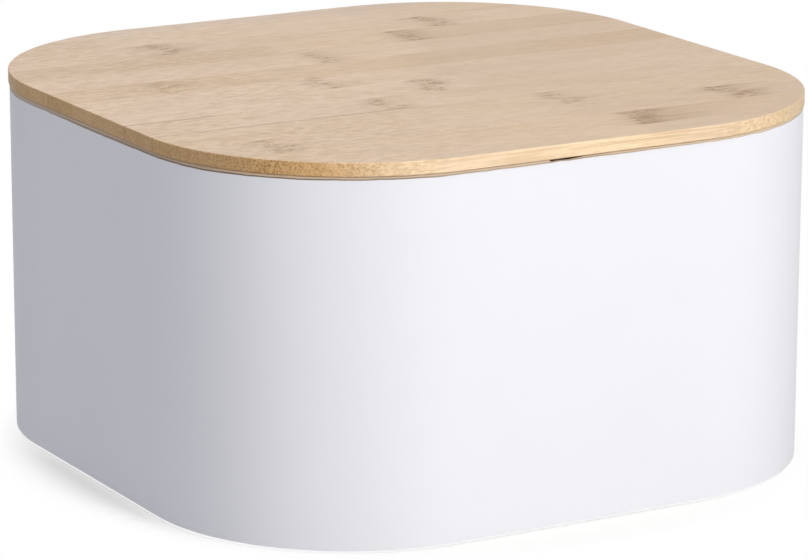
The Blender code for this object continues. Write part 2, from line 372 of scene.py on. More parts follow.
class Graph:
    """Short calls that make and join the nodes of one tree."""

    def __init__(self, tree: bpy.types.NodeTree) -> None:
        """Takes the tree of a material, a world or a group."""
        self.tree = tree

    def node(self, kind: str, **settings: object) -> bpy.types.Node:
        """Makes a node.

        Args:
            kind: the node's type, without the words ShaderNode in front.
            **settings: the values of its properties.

        Returns:
            The node.
        """
        made = self.tree.nodes.new("ShaderNode" + kind)
        for name, value in settings.items():
            setattr(made, name, value)
        return made

    def put(self, socket: Socket, value: object) -> None:
        """Joins a socket to another one, or sets its value.

        Args:
            socket: an input.
            value: an output socket, a number or a colour.
        """
        if isinstance(value, Socket):
            self.tree.links.new(value, socket)
        elif isinstance(value, tuple) and socket.type == "RGBA":
            socket.default_value = (*value, 1.0)
        else:
            socket.default_value = value

    def fill(self, node: bpy.types.Node, **values: object) -> bpy.types.Node:
        """Fills a node's inputs, named with _ for a space, and gives the node."""
        for name, value in values.items():
            self.put(node.inputs[name.replace("_", " ")], value)
        return node

    def chain(self, node: bpy.types.Node, *values: object) -> Socket:
        """Fills a node's inputs in their order and gives its first output."""
        for socket, value in zip(node.inputs, values):
            self.put(socket, value)
        return node.outputs[0]

    def math(self, operation: str, *values: object, clamp: bool = False) -> Socket:
        """Joins a Math node to up to three values."""
        return self.chain(self.node("Math", operation=operation, use_clamp=clamp), *values)

    def madd(self, first: object, second: object, more: object, clamp: bool = False) -> Socket:
        """Multiplies two values and adds a third."""
        return self.math("MULTIPLY_ADD", first, second, more, clamp=clamp)

    def times(self, first: object, second: object, clamp: bool = False) -> Socket:
        """Multiplies two values."""
        return self.math("MULTIPLY", first, second, clamp=clamp)

    def minus(self, first: object, second: object) -> Socket:
        """Takes the second value from the first."""
        return self.math("SUBTRACT", first, second)

    def larger(self, first: object, second: object) -> Socket:
        """Gives the larger of two values."""
        return self.math("MAXIMUM", first, second)

    def vector(self, operation: str, *values: object) -> Socket:
        """Joins a Vector Math node to its values."""
        return self.chain(self.node("VectorMath", operation=operation), *values)

    def place(self) -> Socket:
        """Gives the object's own coordinates."""
        return self.node("TexCoord").outputs["Object"]

    def scale(self, vector: Socket, x: float, y: float, z: float) -> Socket:
        """Stretches a vector by a factor for each axis."""
        return self.vector("MULTIPLY", vector, (x, y, z))

    def split(self, vector: Socket) -> tuple[Socket, ...]:
        """Gives the X, Y and Z of a vector."""
        made = self.node("SeparateXYZ")
        self.put(made.inputs[0], vector)
        return tuple(made.outputs)

    def join(self, x: object, y: object, z: object) -> Socket:
        """Makes a vector from three values."""
        return self.chain(self.node("CombineXYZ"), x, y, z)

    def ramp(self, value: object, low: object, high: object, to: tuple[float, float] = (0.0, 1.0)) -> Socket:
        """Maps a value between two limits, with soft ends.

        Args:
            value: what is mapped.
            low: the value that gives the first result.
            high: the value that gives the second result.
            to: the two results.

        Returns:
            The mapped value.
        """
        made = self.node("MapRange", interpolation_type="SMOOTHSTEP")
        self.fill(made, Value=value, From_Min=low, From_Max=high, To_Min=to[0], To_Max=to[1])
        return made.outputs[0]

    def noise(
        self, vector: Socket, scale: float, detail: float = 2.0, roughness: float = 0.5, output: str = "Fac"
    ) -> Socket:
        """Makes a noise, and gives its Fac or Color."""
        made = self.node("TexNoise")
        return self.fill(made, Vector=vector, Scale=scale, Detail=detail, Roughness=roughness).outputs[output]

    def grain(
        self, vector: Socket, along: float, scale: float, detail: float = 2.0, roughness: float = 0.5
    ) -> Socket:
        """Makes a noise that is drawn out along X, more so where along is smaller."""
        return self.noise(self.scale(vector, along, 1.0, 1.0), scale, detail, roughness)

    def mix(self, factor: object, first: object, second: object, blend: str = "MIX") -> Socket:
        """Mixes two colours."""
        made = self.node("Mix", data_type="RGBA", blend_type=blend)
        for place, value in ((MIX_FACTOR, factor), (MIX_FIRST, first), (MIX_SECOND, second)):
            self.put(made.inputs[place], value)
        return made.outputs[MIX_RESULT]

    def tint(self, factor: object, colour: Socket, by: object) -> Socket:
        """Multiplies a colour by another one, as far as the factor says."""
        return self.mix(factor, colour, self.mix(1.0, colour, by, "MULTIPLY"))

    def blend(self, factor: Socket, first: Socket, second: Socket) -> Socket:
        """Mixes two shaders."""
        return self.chain(self.node("MixShader"), factor, first, second)

    def group(self, tree: bpy.types.NodeTree, **values: object) -> bpy.types.bpy_prop_collection:
        """Places a shared group, gives it its values, named with _ for a space, and gives its outputs."""
        return self.fill(self.node("Group", node_tree=tree), **values).outputs


SOCKET_KINDS = {"value": "NodeSocketFloat", "vector": "NodeSocketVector", "colour": "NodeSocketColor"}


def new_group(
    name: str, inputs: dict[str, str], outputs: dict[str, str],
    draw: Callable[[Graph, Sockets, Sockets], None],
) -> bpy.types.NodeTree:
    """Makes a shader node group.

    Args:
        name: the group's name.
        inputs: the kind of each input, by name.
        outputs: the kind of each output, by name.
        draw: draws the group between its input and output sockets.

    Returns:
        The group.
    """
    tree = bpy.data.node_groups.new(name, "ShaderNodeTree")
    for direction, sockets in (("INPUT", inputs), ("OUTPUT", outputs)):
        for label, kind in sockets.items():
            tree.interface.new_socket(label, in_out=direction, socket_type=SOCKET_KINDS[kind])
    entry = tree.nodes.new("NodeGroupInput").outputs
    leave = tree.nodes.new("NodeGroupOutput").inputs
    draw(Graph(tree), {label: entry[label] for label in inputs}, {label: leave[label] for label in outputs})
    return tree


# bamboo's pinker patches, what its sides (paler, as painted light) and slanted cuts are multiplied by, its
# bundles and its marks
BLUSH = (0.715, 0.545, 0.432)
SIDE_LIGHT_TINT = (1.26, 1.26, 1.16)
SLANT_TINT = (0.80, 0.66, 0.48)
BUNDLE = (0.310, 0.130, 0.020)
MARK = (0.290, 0.175, 0.090)
DARKEST = 0.80


class Groups:
    """The effects that more than one finish uses, each built once."""

    def __init__(self) -> None:
        """Builds the groups."""
        self.patches = new_group(
            "soft_patches", {"Vector": "vector", "Size": "value"}, {"Broad": "value", "Fine": "value"},
            self._draw_patches,
        )
        values = (
            "Seed", "Cut End", "Slanted", "Side", "First Mark", "First Depth", "Second Mark", "Second Depth",
            "Trail", "Left Shade At", "Left Shade", "Right Shade At", "Right Shade", "Seam", "Seam End",
            "Haze",
        )
        colours = dict.fromkeys(("Light", "Deep", "End"), "colour")
        self.bamboo = new_group(
            "bamboo_grain", {"Vector": "vector", **colours, **dict.fromkeys(values, "value")},
            {"Color": "colour", "Roughness": "value", "Height": "value"}, self._draw_bamboo,
        )

    @staticmethod
    def _draw_patches(graph: Graph, given: Sockets, gives: Sockets) -> None:
        """Draws soft broad patches and a fine grain, both about 0.5."""
        unit = graph.vector("DIVIDE", given["Vector"], graph.join(*[given["Size"]] * 3))
        graph.put(gives["Broad"], graph.noise(unit, 1.0, 3.0))
        graph.put(gives["Fine"], graph.noise(unit, 37.0, 2.0, 0.6))

    @staticmethod
    def _bell(graph: Graph, away: Socket, width: float) -> Socket:
        """Draws a bell that is 1 in the middle and a quarter at its width."""
        part = graph.math("DIVIDE", away, width)
        return graph.math("POWER", graph.madd(part, part, 1.0), -2.0)

    @classmethod
    def _draw_bamboo(cls, graph: Graph, given: Sockets, gives: Sockets) -> None:
        """Draws bamboo as a solid: fibres along X, bundles as dots where they are cut, and node marks."""
        seed, side, cut_end, slanted = (given[name] for name in ("Seed", "Side", "Cut End", "Slanted"))
        shift = graph.join(*(graph.times(seed, factor) for factor in (0.731, 0.157, 0.093)))
        place = graph.vector("ADD", given["Vector"], shift)
        x, y, _ = graph.split(given["Vector"])
        across = graph.scale(place, 0.0, 1.0, 1.0)
        wander = graph.minus(graph.noise(across, 75.0), 0.5)
        ragged = graph.minus(graph.noise(across, 600.0), 0.5)
        crooked = graph.madd(wander, 0.012, graph.madd(ragged, 0.0035, x))
        ridge, halo, near, wide = 0.0, 0.0, 0.0, 0.0
        for name in ("First", "Second"):
            depth = given[f"{name} Depth"]
            away = graph.minus(crooked, given[f"{name} Mark"])
            beyond = graph.madd(wander, 0.022, graph.minus(away, 0.0045))
            ridge = graph.madd(cls._bell(graph, away, 0.0022), depth, ridge)
            halo = graph.madd(cls._bell(graph, beyond, 0.011), depth, halo)
            near = graph.madd(cls._bell(graph, beyond, 0.008), depth, near)
            wide = graph.madd(cls._bell(graph, beyond, 0.020), depth, wide)
        past = graph.minus(crooked, given["First Mark"])
        trail = graph.times(graph.ramp(past, -0.005, 0.010), graph.ramp(past, 0.055, 0.006))
        trail = graph.times(trail, given["Trail"])
        # the fibres swirl at a mark
        swirl = graph.vector("SUBTRACT", graph.noise(place, 230.0, output="Color"), (0.5, 0.5, 0.5))
        swirl = graph.vector("MULTIPLY", swirl, graph.join(0.0, graph.times(near, 0.007), 0.0))
        place = graph.vector("ADD", place, swirl)
        streak = graph.grain(place, 0.030, 850.0, 4.0, 0.62)
        fine = graph.grain(place, 0.020, 2600.0)
        dash = graph.grain(place, 0.34, 420.0, 3.0, 0.65)
        mottle = graph.grain(place, 0.45, 240.0, 3.0, 0.6)
        broad = graph.grain(place, 0.20, 60.0)
        pore = graph.ramp(graph.grain(place, 0.10, 1100.0), 0.60, 0.74)
        bundle = graph.node("TexVoronoi", feature="F1")
        graph.fill(bundle, Vector=graph.scale(place, 0.020, 1.0, 0.55), Scale=1550.0)
        reach = graph.madd(broad, 0.45, 0.27)
        dot = graph.ramp(bundle.outputs["Distance"], reach, graph.times(reach, 0.35))
        # long-grain colour, with fibres that show more towards the left
        coarse = graph.times(graph.minus(dash, 0.5), graph.ramp(x, 0.02, -0.12, (0.0, 2.8)))
        depth = graph.madd(coarse, graph.minus(1.0, side), 0.45)
        for grain, amount in ((streak, 1.1), (dash, 1.3), (mottle, 0.8), (broad, 0.9), (fine, 0.22)):
            depth = graph.madd(graph.minus(grain, 0.5), amount, depth)
        lines = graph.math("ADD", graph.minus(streak, 0.5), graph.minus(fine, 0.5))
        depth = graph.madd(graph.times(lines, side), 3.4, depth)
        depth = graph.madd(graph.times(graph.ramp(streak, 0.54, 0.62), side), 0.8, depth)
        stripe = graph.noise(graph.scale(place, 0.02, 1.0, 0.04), 1500.0)
        stripe = graph.times(graph.minus(stripe, 0.5), graph.larger(slanted, cut_end))
        depth = graph.madd(stripe, 2.8, depth)
        depth = graph.madd(pore, graph.madd(side, 0.45, 0.22), depth, clamp=True)
        colour = graph.mix(depth, given["Light"], given["Deep"])
        colour = graph.mix(graph.ramp(graph.noise(place, 16.0, 1.0), 0.42, 0.70, (0.0, 0.30)), colour, BLUSH)
        # sides are painted paler than the top, as painted light; slanted cuts golden, and cut ends darker,
        # with their bundles as dots
        colour = graph.tint(side, colour, SIDE_LIGHT_TINT)
        colour = graph.tint(slanted, colour, SLANT_TINT)
        colour = graph.tint(cut_end, colour, given["End"])
        bold = graph.madd(cls._bell(graph, graph.math("ADD", x, 0.144), 0.008), 0.45, 0.50)
        speck = graph.times(graph.times(dot, bold), graph.ramp(slanted, 0.0, 0.8, (0.06, 1.0)))
        colour = graph.mix(speck, colour, BUNDLE)
        # marks: short dark dashes in a soft shade
        dashes = graph.ramp(graph.grain(place, 0.30, 620.0, 2.0, 0.6), 0.46, 0.60)
        dashes = graph.times(dashes, graph.times(near, 1.6, clamp=True))
        dashes = graph.times(graph.ramp(graph.grain(place, 0.12, 1500.0), 0.42, 0.60, (0.35, 1.0)), dashes)
        cloud = graph.ramp(graph.grain(place, 0.50, 120.0, 3.0), 0.30, 0.65, (0.35, 1.3))
        worn = graph.times(ridge, graph.ramp(mottle, 0.32, 0.60, (0.35, 1.0)))
        # a dark line of glue along the strip's front edge, as far as its end
        seam = cls._bell(graph, graph.minus(y, given["Seam"]), 0.0012)
        seam = graph.times(seam, graph.ramp(graph.minus(x, given["Seam End"]), 0.010, -0.010))
        seam = graph.times(seam, graph.ramp(mottle, 0.34, 0.56, (0.45, 1.0)))
        # darker ends; on most strips the right one is painted shade, where the light falls off towards the
        # lid's right
        left = graph.ramp(graph.minus(given["Left Shade At"], crooked), -0.006, 0.010)
        right = graph.ramp(graph.minus(crooked, given["Right Shade At"]), -0.006, 0.010)
        shade = graph.times(dashes, 0.85)
        for part, amount in (
            (graph.times(halo, cloud), 0.25), (graph.times(wide, given["Haze"]), cloud), (worn, 0.30),
            (graph.times(trail, cloud), 0.24), (seam, 0.80),
            (left, given["Left Shade"]), (right, given["Right Shade"]),
        ):
            shade = graph.madd(part, amount, shade)
        graph.put(gives["Color"], graph.mix(graph.math("MINIMUM", shade, DARKEST), colour, MARK))
        graph.put(gives["Roughness"], graph.madd(near, 0.08, graph.madd(streak, 0.16, 0.42)))
        height = fine
        for part, amount in ((dot, -0.1), (dashes, -1.0), (pore, -0.6), (streak, 0.8)):
            height = graph.madd(part, amount, height)
        graph.put(gives["Height"], height)


# Finishes


def bump(graph: Graph, height: Socket, depth: float) -> Socket:
    """Makes a normal from a height of 0 to about 1, where 1 is as deep as depth says."""
    return graph.fill(graph.node("Bump"), Strength=1.0, Distance=depth, Height=height).outputs["Normal"]


class Finish:
    """A finish, whose _draw says what goes into the shader of its material."""

    def build(self, groups: Groups, name: str, *places: float) -> Material:
        """Builds the finish.

        Args:
            groups: the shared effects.
            name: the material's name.
            *places: what the finish has to know of the piece.

        Returns:
            The material.
        """
        material = bpy.data.materials.new(name)
        material.use_nodes = True
        graph = Graph(material.node_tree)
        graph.fill(material.node_tree.nodes["Principled BSDF"], **self._draw(graph, groups, *places))
        return material


@dataclass(frozen=True)
class RimShade:
    """Painted shade on the wall's rim under the lid's overhang, tinted as a painted reflection of the bamboo,
    at one place round the box.

    Attributes:
        at: the place: X, and further along the sides as far as the way from the front.
        height: how far down from the rim's top the painted shade reaches.
        band: its colour, shade tinted by the bamboo's painted reflection.
        edge: the colour of its lower edge, a line of painted shadow.
    """

    at: float
    height: float
    band: Colour
    edge: Colour


@dataclass(frozen=True)
class WhiteCoat(Finish):
    """Smooth satin powder coat on the steel.

    Attributes:
        colour: the coat's colour.
        soiled: its colour where hands and the table have dulled it.
        roughness: its mean roughness.
        gloss: how strong its reflection is, for the shader's Specular IOR Level.
        peel_depth: depth of its faint orange peel.
        patch: size of the soft patches in its tone.
        foot_height: how far up the foot's dulling reaches.
        rim_shades: painted shade and painted bamboo reflection on the rim under the lid, from left to right.
        front: how far in front of the middle the wall stands.
        back_turn: between which Y the painted rim shade takes on its last place's look.
        foot_highlight: bright metal along the wall's foot, a painted highlight that mirrors the white floor
            as a bright line.
        foot_highlight_height: how far up that line reaches.
        gap_shade: the colour of painted shade in the rim's dip at the front, where the gap under the lid is
            dark.
        gap_shade_height: how far down it reaches at its left end.
        gap_shade_left: between which X it begins.
        gap_shade_right: between which X it thins out.
        gap_shade_back: how far back it reaches.
    """

    colour: Colour = (0.872, 0.868, 0.907)
    soiled: Colour = (0.800, 0.800, 0.815)
    roughness: float = 0.50
    gloss: float = 0.12
    peel_depth: float = 0.00001
    patch: float = 0.06
    foot_height: float = 0.004
    rim_shades: tuple[RimShade, ...] = (
        RimShade(-0.400, 0.0031, (0.600, 0.475, 0.345), (0.470, 0.400, 0.340)),
        RimShade(-0.330, 0.0031, (0.620, 0.485, 0.350), (0.310, 0.230, 0.160)),
        RimShade(-0.240, 0.0023, (0.570, 0.440, 0.315), (0.220, 0.160, 0.110)),
        RimShade(-0.170, 0.0017, (0.690, 0.540, 0.385), (0.170, 0.115, 0.075)),
        RimShade(-0.110, 0.0016, (0.690, 0.540, 0.385), (0.225, 0.160, 0.105)),
        RimShade(-0.050, 0.0019, (0.690, 0.540, 0.385), (0.420, 0.320, 0.230)),
        RimShade(0.000, 0.0018, (0.690, 0.540, 0.385), (0.420, 0.320, 0.230)),
        RimShade(0.100, 0.0014, (0.790, 0.650, 0.470), (0.560, 0.470, 0.360)),
    )
    front: float = 0.1663
    back_turn: tuple[float, float] = (0.105, 0.135)
    foot_highlight: Colour = (0.980, 0.980, 0.985)
    foot_highlight_height: float = 0.0014
    gap_shade: Colour = (0.060, 0.030, 0.015)
    gap_shade_height: float = 0.0012
    gap_shade_left: tuple[float, float] = (-0.0200, -0.0185)
    gap_shade_right: tuple[float, float] = (0.022, -0.015)
    gap_shade_back: float = -0.1646

    def _draw(self, graph: Graph, groups: Groups, foot: float, rim: float) -> dict[str, object]:
        """Draws the coat.

        Args:
            graph: the material's graph.
            groups: the shared effects.
            foot: height of the wall's foot.
            rim: height of the wall's rim.

        Returns:
            The shader's values, by input.
        """
        place = graph.place()
        x, y, z = graph.split(place)
        patches = graph.group(groups.patches, Vector=place, Size=self.patch)
        low = graph.ramp(z, foot + self.foot_height, foot)
        worn = graph.times(low, graph.ramp(patches["Fine"], 0.45, 0.75))
        dull = graph.madd(graph.ramp(patches["Broad"], 0.35, 0.75), 0.12, worn, clamp=True)
        ragged = graph.minus(graph.noise(place, 90.0, 3.0), 0.5)
        under = graph.minus(rim, graph.madd(ragged, 0.0008, z))
        # painted shade and painted reflection of the bamboo on the rim, under the lid's overhang
        colour = self._rim_shaded(graph, graph.mix(dull, self.colour, self.soiled), (x, y), under)
        # painted shade of the dark gap under the lid, in the rim's dip at the front
        colour = graph.mix(self._gap_shade_mask(graph, (x, y), under), colour, self.gap_shade)
        # painted highlight: a band of bright metal on the foot's bend, there to mirror the white floor as a
        # bright line
        foot_highlight = graph.ramp(z, foot + self.foot_highlight_height, foot + 0.8 * self.foot_highlight_height)
        spread = graph.madd(patches["Broad"], 0.08, self.roughness - 0.04)
        return {
            "Base Color": graph.mix(foot_highlight, colour, self.foot_highlight), "Metallic": foot_highlight,
            "Roughness": graph.madd(foot_highlight, -0.15, spread),
            "Normal": bump(graph, graph.noise(place, 520.0), self.peel_depth),
            "IOR": 1.5, "Specular IOR Level": self.gloss,
        }

    def _rim_shaded(self, graph: Graph, colour: Socket, place: tuple[Socket, Socket], under: Socket) -> Socket:
        """Lays painted shade, tinted as a painted reflection of the bamboo, on the rim under the lid.

        Args:
            graph: the material's graph.
            colour: the coat's colour.
            place: X and Y.
            under: how far under the rim's top.

        Returns:
            The stained colour.
        """
        x, y = place
        along = graph.madd(graph.math("SIGN", x), graph.math("ADD", y, self.front), x)
        first, last = self.rim_shades[0], self.rim_shades[-1]
        height, band, edge = first.height, first.band, first.edge
        for before, shading in zip(self.rim_shades, self.rim_shades[1:]):
            passed = graph.ramp(along, before.at, shading.at)
            height = graph.madd(passed, shading.height - before.height, height)
            band = graph.mix(passed, band, shading.band)
            edge = graph.mix(passed, edge, shading.edge)
        # the back is as the last place all the way
        behind = graph.ramp(y, *self.back_turn)
        height = graph.madd(behind, graph.minus(last.height, height), height)
        band = graph.mix(behind, band, last.band)
        edge = graph.mix(behind, edge, last.edge)
        down = graph.math("DIVIDE", under, height)
        shade_colour = graph.mix(graph.ramp(down, 0.45, 0.70), band, edge)
        return graph.mix(graph.ramp(down, 1.0, 0.8), colour, shade_colour)

    def _gap_shade_mask(self, graph: Graph, place: tuple[Socket, Socket], under: Socket) -> Socket:
        """Gives 1 where the rim's dip at the front is painted dark, as shade of the gap under the lid.

        Args:
            graph: the material's graph.
            place: X and Y.
            under: how far under the rim's top.

        Returns:
            How much of the colour is painted shade.
        """
        x, y = place
        soft = 0.0002
        reach = graph.times(graph.ramp(x, *self.gap_shade_right), graph.ramp(x, *self.gap_shade_left))
        reach = graph.times(reach, graph.ramp(y, self.gap_shade_back, self.gap_shade_back - 3 * soft))
        reach = graph.madd(reach, self.gap_shade_height + soft, -soft)
        return graph.ramp(graph.minus(reach, under), 0.0, soft)


@dataclass(frozen=True)
class Dark:
    """Something dark on a strip: a node mark, where the cane had a joint, or a darker end, of darker wood or
    of painted shade.

    Attributes:
        at: where it is along the strip, or where it begins.
        amount: how dark it is, from 0 to 1.
    """

    at: float = 1.0
    amount: float = 0.0


@dataclass(frozen=True)
class Bamboo(Finish):
    """Sanded and thinly oiled bamboo, as a solid grain that runs along one axis.

    Attributes:
        tone: brightness of the strip.
        warmth: how much redder and less blue the strip is.
        first: its stronger node mark.
        second: its other node mark.
        trail: a dark trail on the right of the first mark.
        left: a darker left end.
        right: a darker right end: darker wood on some strips, painted shade of the light falling off towards
            the lid's right on others.
        along_y: whether the fibres run along Y, and not along X.
        seam_end: how far along the dark line of glue at its front edge reaches from the left.
        haze: how dark a wide soft shade round its marks is.
    """

    tone: float = 1.0
    warmth: float = 0.0
    first: Dark = Dark()
    second: Dark = Dark()
    trail: float = 0.0
    left: Dark = Dark(-1.0)
    right: Dark = Dark()
    along_y: bool = False
    seam_end: float = -1.0
    haze: float = 0.0

    LIGHT = (0.768, 0.590, 0.430)
    DEEP = (0.625, 0.450, 0.295)
    END = (0.800, 0.810, 0.790)
    GRAIN_DEPTH = 0.00004

    def _tinted(self, colour: Colour) -> Colour:
        """Gives a colour the strip's own tone and warmth."""
        red, green, blue = colour
        return (
            min(1.0, red * self.tone * (1 + 0.3 * self.warmth)), green * self.tone,
            blue * self.tone * (1 - self.warmth),
        )

    def _draw(self, graph: Graph, groups: Groups, seed: float, front: float = -1.0) -> dict[str, object]:
        """Draws the bamboo.

        Args:
            graph: the material's graph.
            groups: the shared effects.
            seed: a number that gives the strip a grain of its own.
            front: where the strip's front edge is.

        Returns:
            The shader's values, by input.
        """
        place = graph.place()
        facing = graph.split(graph.node("NewGeometry").outputs["Normal"])
        end_on = facing[1 if self.along_y else 0]
        cut = graph.larger(graph.ramp(end_on, -0.60, -0.90), graph.ramp(end_on, 0.80, 1.0))
        cut = graph.larger(cut, graph.ramp(end_on, 0.30, 0.80, (0.0, 0.45)))
        slanted = graph.larger(graph.ramp(end_on, -0.22, -0.64), graph.ramp(end_on, 0.35, 0.80, (0.0, 0.2)))
        level = graph.math("ABSOLUTE", facing[2])
        if self.along_y:
            x, y, z = graph.split(place)
            place = graph.join(y, x, z)
        grain = graph.group(
            groups.bamboo, Vector=place, Seed=seed,
            Cut_End=cut, Slanted=slanted, Side=graph.ramp(level, 0.85, 0.35),
            Light=self._tinted(self.LIGHT), Deep=self._tinted(self.DEEP), End=self.END,
            First_Mark=self.first.at, First_Depth=self.first.amount,
            Second_Mark=self.second.at, Second_Depth=self.second.amount, Trail=self.trail,
            Left_Shade_At=self.left.at, Left_Shade=self.left.amount,
            Right_Shade_At=self.right.at, Right_Shade=self.right.amount,
            Seam=front, Seam_End=self.seam_end, Haze=self.haze,
        )
        return {
            "Base Color": grain["Color"], "Roughness": grain["Roughness"],
            "Normal": bump(graph, grain["Height"], self.GRAIN_DEPTH), "IOR": 1.45, "Specular IOR Level": 0.35,
        }


@dataclass(frozen=True)
class Zinc(Finish):
    """Bright zinc plating on the screws, with a fine grain.

    Attributes:
        bright: its light colour.
        dull: its duller colour, in soft patches.
        patch: size of the soft patches in its tone.
        depth: depth of its fine grain.
    """

    bright: Colour = (0.74, 0.75, 0.77)
    dull: Colour = (0.52, 0.53, 0.56)
    patch: float = 0.004
    depth: float = 0.00001

    def _draw(self, graph: Graph, groups: Groups) -> dict[str, object]:
        """Gives the shader's values, by input."""
        patches = graph.group(groups.patches, Vector=graph.place(), Size=self.patch)
        return {
            "Base Color": graph.mix(patches["Broad"], self.bright, self.dull), "Metallic": 1.0,
            "Roughness": graph.ramp(patches["Fine"], 0.2, 0.8, (0.22, 0.42)),
            "Normal": bump(graph, patches["Fine"], self.depth),
        }


@dataclass(frozen=True)
class PadRubber(Finish):
    """Matt pale grey non-slip rubber.

    Attributes:
        clean: its own colour.
        dusty: its colour where dust sticks to it.
        patch: size of the dusty patches.
        depth: depth of its fine grain.
    """

    clean: Colour = (0.56, 0.56, 0.55)
    dusty: Colour = (0.66, 0.65, 0.63)
    patch: float = 0.012
    depth: float = 0.00005

    def _draw(self, graph: Graph, groups: Groups) -> dict[str, object]:
        """Gives the shader's values, by input."""
        patches = graph.group(groups.patches, Vector=graph.place(), Size=self.patch)
        return {
            "Base Color": graph.mix(graph.ramp(patches["Broad"], 0.35, 0.7), self.clean, self.dusty),
            "Roughness": graph.ramp(patches["Fine"], 0.2, 0.8, (0.72, 0.88)),
            "Normal": bump(graph, patches["Fine"], self.depth),
        }


# The box


